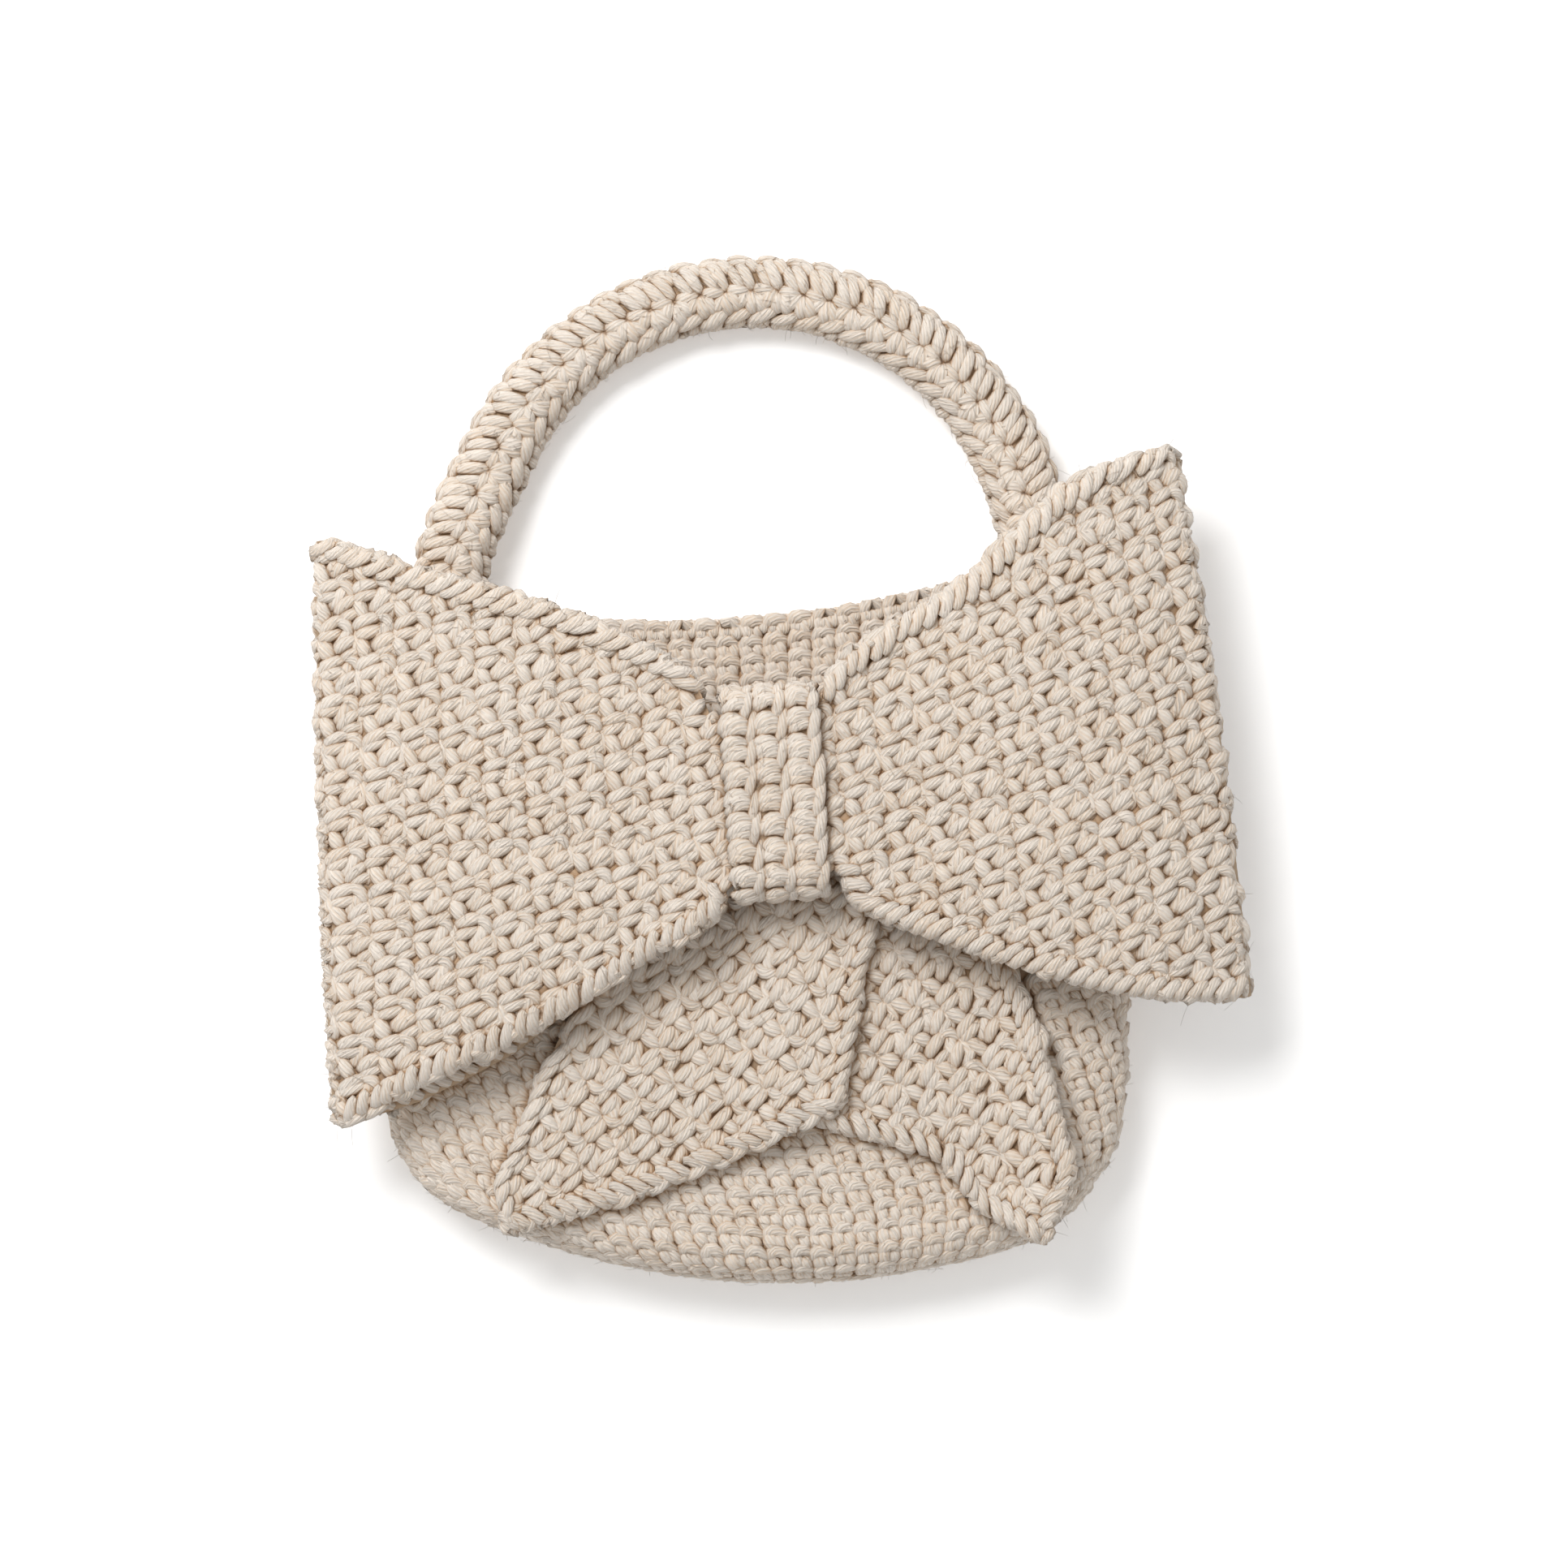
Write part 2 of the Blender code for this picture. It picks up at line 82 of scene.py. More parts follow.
room = bpy.data.worlds.new("room")
room.use_nodes = True
room.node_tree.nodes["Background"].inputs["Color"].default_value = ROOM_WHITE
room.node_tree.nodes["Background"].inputs["Strength"].default_value = ROOM_STRENGTH
bpy.context.scene.world = room

window = bpy.data.objects.new("window", bpy.data.lights.new("window", "AREA"))
window.data.energy = WINDOW_WATTS
window.data.size = WINDOW_SIZE
window.location = WINDOW_PLACE
window.rotation_euler = (-Vector(WINDOW_PLACE)).to_track_quat("-Z", "Y").to_euler()
bpy.context.scene.collection.objects.link(window)

camera = bpy.data.objects.new("camera", bpy.data.cameras.new("camera"))
camera.data.lens = CAMERA_LENS
camera.location = CAMERA_PLACE
bpy.context.scene.collection.objects.link(camera)
bpy.context.scene.camera = camera
bpy.context.scene.view_settings.view_transform = "Standard"


# Pouch: single crochet in thick beige yarn, worked in the round from the closed
# toe up to the rim. Each stitch is one arched bar over two short legs, and the
# rim ends in a row of loops that lean over the edge.

# Yarn: how deep its strands sit in a cloth and how far they stand out of it, its
# colour on top and the darker colours of painted shade down in the creases, its plies,
# and its loose fibres
YARN_RADIUS = 1.6 * MM
YARN_FLATNESS = 0.70
YARN_SINK = 1.0 * MM
YARN_RELIEF = 0.9 * MM
YARN_SWELL = 0.5
# Painted shade in the creases runs from the deepest colour to the darker one; the darker one is
# also the yarn's own darker tone
YARN_PAINTED_SHADE = (0.50, 0.285, 0.135, 1.0)
YARN_DARK = (0.79, 0.60, 0.425, 1.0)
YARN_LIGHT = (0.90, 0.81, 0.715, 1.0)
CORE_DEPTH = 1.0 * MM
# How far round each point the painted shade in the creases feels for other strands, and how dark
# it goes
CREASE_SHADE_REACH = 4.0 * MM
CREASE_SHADE_DEPTH = 0.95
PLIES = 10
PLY_TWIST = 430.0
PLY_RELIEF = 0.48 * MM
CORE_RELIEF = 0.5 * MM
LOOSE_FIBRE_LENGTH = 4.0 * MM
LOOSE_FIBRE_THICKNESS = 0.036

# Outline of the pouch: its rim and toe with their slants and dips, and its half
# width and lean by share of the way down from the rim
POUCH_MIDDLE = -7.6 * MM
POUCH_ROLL = 12.0 * MM
POUCH_RIM = 57.8 * MM
POUCH_RIM_SLANT = 9.0 * MM
POUCH_RIM_DIP = 16.7 * MM
POUCH_FRONT_DIP = 22.0 * MM
POUCH_TOE = -141.1 * MM
POUCH_TOE_SLANT = -3.6 * MM
POUCH_TOE_RISE = 14.2 * MM
POUCH_WALL = 4.5 * MM
POUCH_DOWN = (0.0, 0.50, 0.75, 0.85, 0.91, 0.96, 1.0)
POUCH_HALF_WIDTH = (0.1011, 0.1026, 0.1021, 0.1005, 0.0956, 0.0874, 0.0760)
POUCH_LEAN = (0.0, 0.0, 0.0, -0.0004, -0.0015, -0.0021, -0.0021)

# Stitches of the pouch: each row is set over by SPIRAL of a stitch, and those
# that lie well under the bow are left out
SINGLE_WIDTH = 6.6 * MM
SINGLE_HEIGHT = 5.9 * MM
SPIRAL = 0.33
POUCH_WOBBLE = 0.045
HIDDEN_WOBBLE = 0.035
UNDER_BOW = 11.0 * MM
MOUTH_ROW = 0.88 * SINGLE_HEIGHT
MOUTH_THICKNESS = 1.1
RIM_PITCH = 3.3 * MM
RIM_REACH = 4.0 * MM
RIM_SLANT = 2.6 * MM
RIM_THICKNESS = 1.05
RIM_STEPS = 240

# A strand of a stitch: its three points (share along, share up), how far each
# stands out of the cloth, and its thickness in yarn radii. Its ends run on under
# the next strands by a share of its length.
TUCK = 0.07
Strand = namedtuple("Strand", "start middle end heights thickness")
SINGLE_CROCHET = (
    Strand((0.00, 0.42), (0.42, 1.04), (1.04, 0.64), (-0.8, 1.2, -0.3), 1.20),
    Strand((0.37, 0.80), (0.30, 0.42), (0.37, -0.04), (0.1, 0.5, -0.4), 1.40),
    Strand((0.64, 0.78), (0.71, 0.40), (0.65, -0.06), (0.1, 0.4, -0.5), 1.38),
)


def feel(node):
    """A CAD node's surface, as something that points can be pressed on."""
    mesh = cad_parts[node].data
    places = [vertex.co for vertex in mesh.vertices]
    return BVHTree.FromPolygons(places, [face.vertices for face in mesh.polygons])


def nearest_on(surface, points):
    """Each point moved to the nearest place on the surface, with the way out there."""
    places = np.empty_like(points)
    outs = np.empty_like(points)
    for i, point in enumerate(points.reshape(-1, 3)):
        place, out, _, _ = surface.find_nearest(Vector(point))
        places.reshape(-1, 3)[i] = place
        outs.reshape(-1, 3)[i] = out
    return places, outs


def length_of(vectors):
    """Lengths of vectors, kept so that the vectors can be divided by them."""
    return np.maximum(np.linalg.norm(vectors, axis=-1, keepdims=True), 1e-12)


def through(stitch, steps):
    """Shares along and up, heights and thicknesses of a stitch's strands at even steps."""
    t = np.linspace(-TUCK, 1.0 + TUCK, steps)
    weights = np.stack([(1 - t) * (1 - 2 * t), 4 * t * (1 - t), t * (2 * t - 1)])
    flat = np.array([(strand.start, strand.middle, strand.end) for strand in stitch])
    heights = np.array([strand.heights for strand in stitch])
    thickness = np.array([strand.thickness for strand in stitch])
    return np.einsum("sce,ct->ste", flat, weights), heights @ weights, thickness


def work_rows(stitch, columns, rows, wobble, seed, steps=7):
    """Every strand of a worked cloth: shares across and up it in stitches, heights, thickness."""
    shape, heights, thickness = through(stitch, steps)
    chance = np.random.default_rng(seed)
    column, row = [grid.ravel()[:, None, None] for grid in np.meshgrid(columns, rows)]
    cells, strands = column.shape[0], len(stitch)
    shift = chance.normal(0.0, wobble, (2, cells, strands, 1))
    tilt = chance.normal(0.0, wobble, (cells, strands, 1)) * np.linspace(-1, 1, steps)
    across = column + shape[None, :, :, 0] + shift[0]
    up = row + shape[None, :, :, 1] + shift[1] + tilt
    lift = heights[None] + chance.normal(0.0, 2.0 * wobble, (cells, strands, 1))
    thick = thickness[None] * chance.normal(1.0, 0.06, (cells, strands))
    return (
        across.reshape(-1, steps),
        up.reshape(-1, steps),
        lift.reshape(-1, steps),
        thick.ravel(),
    )


def stand_out(places, outs, lift):
    """Strands moved from the skin of a cloth to their heights on it, and never into the table."""
    lines = places + outs * (lift[:, :, None] * YARN_RELIEF - YARN_SINK)
    lines[:, :, 2] = np.maximum(lines[:, :, 2], YARN_RADIUS * YARN_FLATNESS)
    return lines


def spin(name, lines, outs, thickness, sides, seed):
    """Strands of yarn as one mesh. Each is thin where it dives and full in the middle."""
    count, steps, _ = lines.shape
    along = np.gradient(lines, axis=1)
    along /= length_of(along)
    across = np.cross(outs, along)
    across /= length_of(across)
    up = np.cross(along, across)
    t = np.linspace(0.0, 1.0, steps)
    swell = np.sin(math.pi * (0.15 + 0.70 * t)) ** YARN_SWELL
    turn = 2.0 * math.pi * np.arange(sides) / sides - math.pi / 2.0
    ring = (
        across[:, :, None] * np.cos(turn)[:, None]
        + up[:, :, None] * np.sin(turn)[:, None] * YARN_FLATNESS
    )
    radius = YARN_RADIUS * thickness[:, None] * swell
    points = lines[:, :, None] + radius[:, :, None, None] * ring

    first = np.arange(count * steps * sides).reshape(count, steps, sides)
    beside = np.roll(first, -1, axis=2)
    quads = np.stack([first[:, :-1], beside[:, :-1], beside[:, 1:], first[:, 1:]], axis=-1)
    caps = np.stack([first[:, 0, ::-1], first[:, -1]], axis=1)
    corners = np.concatenate([quads.ravel(), caps.ravel()])
    sizes = np.concatenate([np.full(quads.size // 4, 4), np.full(caps.size // sides, sides)])
    mesh = bpy.data.meshes.new(name)
    mesh.vertices.add(first.size)
    mesh.vertices.foreach_set("co", points.astype(np.float32).ravel())
    mesh.loops.add(corners.size)
    mesh.loops.foreach_set("vertex_index", corners.astype(np.int32))
    mesh.polygons.add(sizes.size)
    starts = np.concatenate([[0], np.cumsum(sizes)[:-1]])
    mesh.polygons.foreach_set("loop_start", starts.astype(np.int32))
    mesh.update(calc_edges=True)
    mesh.shade_smooth()

    runs = np.zeros((count, steps))
    runs[:, 1:] = np.cumsum(np.linalg.norm(np.diff(lines, axis=1), axis=2), axis=1)
    turned = np.tile(np.arange(sides) / sides, (count, steps, 1))
    turned_quads = np.stack(
        [turned[:, :-1], turned[:, :-1] + 1 / sides, turned[:, 1:] + 1 / sides, turned[:, 1:]], -1
    )
    run = np.repeat(runs[:, :, None], sides, axis=2)
    run_quads = np.stack([run[:, :-1], run[:, :-1], run[:, 1:], run[:, 1:]], -1)
    turned_caps = np.stack([turned[:, 0, ::-1], turned[:, -1]], axis=1)
    run_caps = np.stack([run[:, 0], run[:, -1]], axis=1)
    wraps = np.concatenate([turned_quads.ravel(), turned_caps.ravel()])
    lengths = np.concatenate([run_quads.ravel(), run_caps.ravel()])
    wrap = mesh.uv_layers.new(name="wrap")
    wrap.data.foreach_set("uv", np.stack([wraps, lengths], -1).astype(np.float32).ravel())

    chance = np.random.default_rng(seed)
    tint = mesh.attributes.new("tint", "FLOAT", "POINT")
    tints = np.repeat(chance.uniform(0.0, 1.0, count), steps * sides)
    tint.data.foreach_set("value", tints.astype(np.float32))
    mesh.materials.append(yarn)
    strands = bpy.data.objects.new(name, mesh)
    bpy.context.scene.collection.objects.link(strands)
    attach(strands, "root")
    return strands


def spun_yarn(name, deep, dark, light):
    """Soft yarn of twisted plies: grooves between the plies and fine fibres along them.

    Shade is painted into the grooves and into the creases between strands.
    """
    material = bpy.data.materials.new(name)
    material.use_nodes = True
    nodes, links = material.node_tree.nodes, material.node_tree.links
    shader = nodes["Principled BSDF"]
    shader.inputs["Roughness"].default_value = 0.92
    shader.inputs["Specular IOR Level"].default_value = 0.12
    shader.inputs["Sheen Weight"].default_value = 0.25
    shader.inputs["Sheen Roughness"].default_value = 0.6

    def sum_of(first, second, factor):
        node = nodes.new("ShaderNodeMath")
        node.operation = "MULTIPLY_ADD"
        links.new(second, node.inputs[0])
        node.inputs[1].default_value = factor
        if first is None:
            node.inputs[2].default_value = 0.0
        else:
            links.new(first, node.inputs[2])
        return node.outputs[0]

    wrap = nodes.new("ShaderNodeUVMap")
    wrap.uv_map = "wrap"
    parts = nodes.new("ShaderNodeSeparateXYZ")
    links.new(wrap.outputs[0], parts.inputs[0])
    tint = nodes.new("ShaderNodeAttribute")
    tint.attribute_name = "tint"

    # The plies wind round the strand, and each strand starts at a turn of its own
    phase = sum_of(sum_of(None, parts.outputs["X"], PLIES), parts.outputs["Y"], PLY_TWIST)
    phase = sum_of(phase, tint.outputs["Fac"], 7.0)
    groove = nodes.new("ShaderNodeMath")
    groove.operation = "PINGPONG"
    groove.inputs[1].default_value = 0.5
    links.new(phase, groove.inputs[0])

    # Fibres are fine noise, drawn out along the plies
    fibre_place = nodes.new("ShaderNodeCombineXYZ")
    links.new(sum_of(None, phase, 5.0), fibre_place.inputs["X"])
    links.new(sum_of(None, parts.outputs["Y"], 420.0), fibre_place.inputs["Y"])
    links.new(sum_of(None, tint.outputs["Fac"], 90.0), fibre_place.inputs["Z"])
    fibres = nodes.new("ShaderNodeTexNoise")
    fibres.inputs["Scale"].default_value = 1.0
    fibres.inputs["Detail"].default_value = 3.0
    fibres.inputs["Roughness"].default_value = 0.65
    links.new(fibre_place.outputs[0], fibres.inputs["Vector"])

    height = sum_of(sum_of(None, groove.outputs[0], 1.2), fibres.outputs["Fac"], 1.3)
    bump = nodes.new("ShaderNodeBump")
    bump.inputs["Strength"].default_value = 1.0
    bump.inputs["Distance"].default_value = PLY_RELIEF
    links.new(height, bump.inputs["Height"])
    links.new(bump.outputs[0], shader.inputs["Normal"])

    # Painted shade: lighter on the plies' crowns and darker in the grooves between them,
    # and deeper where other strands close in on it. Each strand has a tone of its own.
    lightness = sum_of(sum_of(None, groove.outputs[0], 0.7), fibres.outputs["Fac"], 1.1)
    lightness = sum_of(lightness, tint.outputs["Fac"], 0.25)
    shade_openness = nodes.new("ShaderNodeAmbientOcclusion")
    shade_openness.samples = 6
    shade_openness.inputs["Distance"].default_value = CREASE_SHADE_REACH
    crease_shade = nodes.new("ShaderNodeMapRange")
    crease_shade.inputs["From Min"].default_value = 0.25
    crease_shade.inputs["From Max"].default_value = 0.85
    crease_shade.inputs["To Min"].default_value = -CREASE_SHADE_DEPTH
    crease_shade.inputs["To Max"].default_value = 0.0
    links.new(shade_openness.outputs["AO"], crease_shade.inputs["Value"])
    lightness = sum_of(lightness, crease_shade.outputs["Result"], 1.0)
    shades = nodes.new("ShaderNodeValToRGB")
    shades.color_ramp.elements[0].position = 0.0
    shades.color_ramp.elements[0].color = deep
    shades.color_ramp.elements[1].position = 0.95
    shades.color_ramp.elements[1].color = light
    shades.color_ramp.elements.new(0.34).color = dark
    links.new(lightness, shades.inputs["Fac"])
    links.new(shades.outputs["Color"], shader.inputs["Base Color"])
    return material


def fluff(name, lines, outs, count, seed):
    """Fine loose fibres that stand off the yarn here and there."""
    chance = np.random.default_rng(seed)
    strand = chance.integers(0, len(lines), count)
    step = chance.integers(1, lines.shape[1] - 1, count)
    out = outs[strand, step]
    along = lines[strand, step + 1] - lines[strand, step - 1]
    along /= length_of(along)
    side = np.cross(out, along)
    lean, way, swing = chance.normal(0.0, 0.7, (3, count, 1))
    root = lines[strand, step] + YARN_RADIUS * (0.6 * out + lean * side)
    rise = out * chance.uniform(0.1, 0.9, (count, 1))
    length = LOOSE_FIBRE_LENGTH * chance.uniform(0.4, 1.0, (count, 1))
    t = np.linspace(0.0, 1.0, 4)[None, :, None]
    ahead = (along * way + side * lean + rise) * length
    curl = (side * swing - 0.6 * rise) * length
    fibres = root[:, None] + ahead[:, None] * t + curl[:, None] * t * t
    fibres[:, :, 2] = np.maximum(fibres[:, :, 2], LOOSE_FIBRE_THICKNESS * YARN_RADIUS)
    upright = np.repeat(out[:, None], 4, axis=1)
    thickness = np.full(count, LOOSE_FIBRE_THICKNESS)
    return spin(name, fibres, upright, thickness, sides=3, seed=seed)


def core_cloth(name, node, depth=CORE_DEPTH):
    """The cloth under a node's stitches: its own shape, a little thinner, in painted shade."""
    core = bpy.data.objects.new(name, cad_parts[node].data.copy())
    bpy.context.scene.collection.objects.link(core)
    core.data.materials.clear()
    core.data.materials.append(painted_shade_yarn)
    weld = core.modifiers.new("weld", "WELD")
    weld.merge_threshold = 0.01 * MM
    shrink = core.modifiers.new("shrink", "DISPLACE")
    shrink.mid_level = 0.0
    shrink.strength = -depth
    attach(core, "root")
    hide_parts(node)
    return core


yarn = spun_yarn("beige_yarn", YARN_PAINTED_SHADE, YARN_DARK, YARN_LIGHT)
# The core cloth's colour is painted shade: the yarn's darker colour, going deeper where the
# strands close in over it
painted_shade_yarn = bpy.data.materials.new("yarn_in_the_gaps_painted_shade")
painted_shade_yarn.use_nodes = True
painted_shade_nodes, painted_shade_links = painted_shade_yarn.node_tree.nodes, painted_shade_yarn.node_tree.links
painted_shade_shader = painted_shade_nodes["Principled BSDF"]
painted_shade_shader.inputs["Roughness"].default_value = 1.0
painted_shade_shader.inputs["Specular IOR Level"].default_value = 0.0
painted_shade_fibres = painted_shade_nodes.new("ShaderNodeTexNoise")
painted_shade_fibres.inputs["Scale"].default_value = 900.0
painted_shade_bump = painted_shade_nodes.new("ShaderNodeBump")
painted_shade_bump.inputs["Distance"].default_value = CORE_RELIEF
painted_shade_links.new(painted_shade_fibres.outputs["Fac"], painted_shade_bump.inputs["Height"])
painted_shade_links.new(painted_shade_bump.outputs[0], painted_shade_shader.inputs["Normal"])
painted_shade_openness = painted_shade_nodes.new("ShaderNodeAmbientOcclusion")
painted_shade_openness.samples = 6
painted_shade_openness.inputs["Distance"].default_value = CREASE_SHADE_REACH
painted_shade_ramp = painted_shade_nodes.new("ShaderNodeValToRGB")
painted_shade_ramp.color_ramp.elements[0].color = YARN_PAINTED_SHADE
painted_shade_ramp.color_ramp.elements[1].color = YARN_DARK
painted_shade_links.new(painted_shade_openness.outputs["AO"], painted_shade_ramp.inputs["Fac"])
painted_shade_links.new(painted_shade_ramp.outputs["Color"], painted_shade_shader.inputs["Base Color"])


def pouch_place(across, down):
    """Outside of the pouch. across runs 0 to 1 round it, from the left end of the
    back; down runs 0 at the rim to 1 at the toe's nose, measured along the cloth."""
    half = np.interp(down, POUCH_DOWN, POUCH_HALF_WIDTH)
    straight = POUCH_HALF_WIDTH[1] - POUCH_ROLL
    flat, side = 2.0 * straight, math.pi * POUCH_ROLL
    run = (across % 1.0) * 2.0 * (flat + side)
    upper = run >= flat + side
    run = np.where(upper, run - flat - side, run)
    angle = np.clip((run - flat) / side, 0.0, 1.0) * math.pi
    share = np.clip(run / flat, 0.0, 1.0) * 2.0 - 1.0
    x = share * (half - POUCH_ROLL) + POUCH_ROLL * np.sin(angle)
    z = -np.cos(angle)
    x, z = np.where(upper, -x, x), np.where(upper, -z, z)
    a = x / half
    front = (z + 1.0) / 2.0
    rim = POUCH_RIM + POUCH_RIM_SLANT * a
    rim = rim - (POUCH_RIM_DIP + POUCH_FRONT_DIP * front * front * (3 - 2 * front)) * (1 - a * a)
    toe = POUCH_TOE + POUCH_TOE_SLANT * a + POUCH_TOE_RISE * a * a
    drop = rim - toe - POUCH_ROLL
    length = down * (drop + POUCH_ROLL * math.pi / 2.0)
    turn = np.clip((length - drop) / POUCH_ROLL, 0.0, math.pi / 2.0)
    y = rim - np.minimum(length, drop) - POUCH_ROLL * np.sin(turn)
    z = POUCH_ROLL + z * POUCH_ROLL * np.cos(turn)
    lean = np.interp(down, POUCH_DOWN, POUCH_LEAN)
    return np.stack([POUCH_MIDDLE + lean + x, y, z], axis=-1)


def hidden_under(points, covers, way, margin):
    """Which points lie well inside what the given nodes cover, seen from above or below."""
    shifts = margin * np.array([(0, 0), (1, 0), (-1, 0), (0, 1), (0, -1)])
    found = np.ones(len(points), bool)
    for i, (x, y, z) in enumerate(points):
        for dx, dy in shifts:
            start = Vector((x + dx, y + dy, z + way * 2.0 * MM))
            if all(cover.ray_cast(start, Vector((0, 0, way)), 0.1)[0] is None for cover in covers):
                found[i] = False
                break
    return found


def bind_edge(edge, outward, normal, wall, pitch, reach, slant, thick, seed, wrap=0.8):
    """Slanted strands that go over the edge of a cloth, from its face to behind it.

    They go round by the given share of a half turn.
    """
    chance = np.random.default_rng(seed)
    steps = np.concatenate([[0], np.cumsum(np.linalg.norm(np.diff(edge, axis=0), axis=1))])
    count = max(2, int(steps[-1] / pitch))
    stops = (np.arange(count) + 0.5 + chance.uniform(-0.12, 0.12, count)) * steps[-1] / count
    edge, outward, normal = [
        np.stack([np.interp(stops, steps, part[:, axis]) for axis in range(3)], axis=-1)
        for part in (edge, outward, normal)
    ]
    outward, normal = outward / length_of(outward), normal / length_of(normal)
    onward = np.gradient(edge, axis=0)
    onward /= length_of(onward)
    lift = wall / 2.0 + 0.3 * YARN_RADIUS
    t = np.linspace(0.0, 1.0, 8)[None, :, None]
    turn = math.pi * (wrap * t - 0.5)
    reach = reach * chance.uniform(0.85, 1.15, (count, 1, 1))
    slant = slant * chance.uniform(0.85, 1.15, (count, 1, 1))
    inset = np.abs(np.sin(turn)) ** 1.4 * reach
    lines = (
        edge[:, None]
        + outward[:, None] * (0.3 * YARN_RADIUS - inset)
        - normal[:, None] * lift * np.sin(turn)
        + onward[:, None] * slant * (t - 0.5)
    )
    outs = outward[:, None] * np.cos(turn) - normal[:, None] * np.sin(turn)
    return lines, outs, thick * chance.normal(1.0, 0.06, count)


pouch = core_cloth("pouch_core", "bag_body")
pouch_skin = feel("bag_body")
bow_skin, left_skin, right_skin = feel("bow_loop"), feel("tail_left"), feel("tail_right")
pouch_round = 2.0 * (2.0 * (POUCH_HALF_WIDTH[1] - POUCH_ROLL) + math.pi * POUCH_ROLL)
pouch_columns = round(pouch_round / SINGLE_WIDTH)
pouch_rows = round((POUCH_RIM - POUCH_RIM_DIP - POUCH_TOE) / SINGLE_HEIGHT)


def work_pouch(wobble, seed, steps):
    """The pouch's stitches in a spiral from the toe up: their lines, ways out and thickness."""
    across, up, lift, thick = work_rows(
        SINGLE_CROCHET, np.arange(pouch_columns), np.arange(pouch_rows), wobble, seed, steps
    )
    across -= SPIRAL * up
    skin = pouch_place(-across / pouch_columns, 1.0 - up / pouch_rows)
    places, outs = nearest_on(pouch_skin, skin)
    return stand_out(places, outs, lift), outs, thick


lines, outs, thick = work_pouch(POUCH_WOBBLE, seed=11, steps=7)
front = lines[:, 3, 2] > POUCH_ROLL
front &= ~hidden_under(lines[:, 3], (bow_skin, left_skin, right_skin), 1.0, UNDER_BOW)
lines, outs, thick = lines[front], outs[front], thick[front]
pouch_front = spin("pouch_front", lines, outs, thick, sides=7, seed=2)
pouch_fluff = fluff("pouch_fluff", lines, outs, count=800, seed=61)

lines, outs, thick = work_pouch(HIDDEN_WOBBLE, seed=13, steps=5)
back = lines[:, 2, 2] <= POUCH_ROLL
lines, outs, thick = lines[back], outs[back], thick[back]
pouch_back = spin("pouch_back", lines, outs, thick, sides=5, seed=3)

# Inside of the mouth: the same rows seen on the back wall, and a few on the front
across, up, lift, thick = work_rows(
    SINGLE_CROCHET, np.arange(-14, 14), np.arange(-9, 0), HIDDEN_WOBBLE, seed=12, steps=6
)
x = (across + 0.3) * SINGLE_WIDTH
a = x / POUCH_HALF_WIDTH[0]
y = POUCH_RIM + POUCH_RIM_SLANT * a - POUCH_RIM_DIP * (1 - a * a) + up * MOUTH_ROW
inner_back = np.stack([POUCH_MIDDLE + x, y, np.full_like(x, POUCH_WALL)], axis=-1)
inner_front = inner_back + [0.0, -POUCH_FRONT_DIP, 2.0 * POUCH_ROLL - 2.0 * POUCH_WALL]
inner_front[..., 1] += POUCH_FRONT_DIP * a * a
top_rows = up.min(axis=1) > -4.5
inner_walls = np.concatenate([inner_back, inner_front[top_rows]])
places, outs = nearest_on(pouch_skin, inner_walls)
lines = stand_out(places, outs, np.concatenate([lift, lift[top_rows]]))
thick = MOUTH_THICKNESS * np.concatenate([thick, thick[top_rows]])
pouch_inside = spin("pouch_inside", lines, outs, thick, sides=6, seed=4)

# Rim: loops that lean over the edge, all the way round
rim_shares = np.linspace(0.0, 1.0, RIM_STEPS)
rim = pouch_place(rim_shares, 0.0)
_, rim_out = nearest_on(pouch_skin, pouch_place(rim_shares, 0.03))
rim_out[:, 1] = 0.0
rim_out /= length_of(rim_out)
lines, outs, thick = bind_edge(
    rim - rim_out * POUCH_WALL / 2.0, np.tile([0.0, 1.0, 0.0], (RIM_STEPS, 1)), -rim_out,
    POUCH_WALL, RIM_PITCH, RIM_REACH, RIM_SLANT, RIM_THICKNESS, seed=14,
)
pouch_rim = spin("pouch_rim", lines, outs, thick, sides=7, seed=5)


# Handle: a round cord of crochet, padded inside, laid as an arch. Strands fan
# outward from a row of holes along its top, and a chain runs down its inner side.
ARCH_MIDDLE = Vector((-8.5 * MM, 54.1 * MM, 0.0))
ARCH_ANGLES = (-32.0, 208.0)
HANDLE_PITCH = 7.2 * MM
HANDLE_HALF_WIDTH = 10.1 * MM
HANDLE_WOBBLE = 0.03
UNDER_START = 0.27
UNDER_ROWS = 5
UNDER_ROW = 0.094
HANDLE_STITCH = (
    Strand((-0.06, -0.10), (-0.28, -0.46), (-0.56, -0.94), (-0.4, 1.0, 0.2), 1.22),
    Strand((-0.40, -0.06), (-0.64, -0.38), (-0.94, -0.90), (-0.2, 0.9, 0.0), 1.16),
    Strand((0.02, -0.64), (-0.10, -0.84), (-0.30, -1.00), (-0.3, 0.6, 0.0), 1.20),
    Strand((-0.10, -0.84), (-0.48, -0.97), (-0.98, -1.00), (-0.2, 0.3, -0.2), 1.20),
    Strand((-0.22, 0.00), (-0.58, -0.05), (-0.94, -0.12), (-0.3, 0.9, -0.4), 1.16),
    Strand((-0.14, 0.06), (-0.44, 0.22), (-0.74, 0.44), (-0.4, 0.8, -0.2), 1.30),
    Strand((-0.02, 0.07), (-0.06, 0.34), (-0.02, 0.62), (-0.4, 1.0, -0.1), 1.36),
    Strand((0.08, 0.02), (0.26, 0.28), (0.36, 0.56), (-0.4, 1.0, -0.1), 1.30),
    Strand((0.92, 0.50), (0.40, 0.66), (-0.20, 0.86), (-0.1, 1.1, 0.0), 1.30),
    Strand((0.56, 0.78), (0.40, 0.92), (0.14, 1.00), (-0.2, 0.7, 0.2), 1.10),
    Strand((0.10, 0.84), (-0.04, 0.94), (-0.24, 1.00), (-0.2, 0.7, 0.2), 1.10),
)


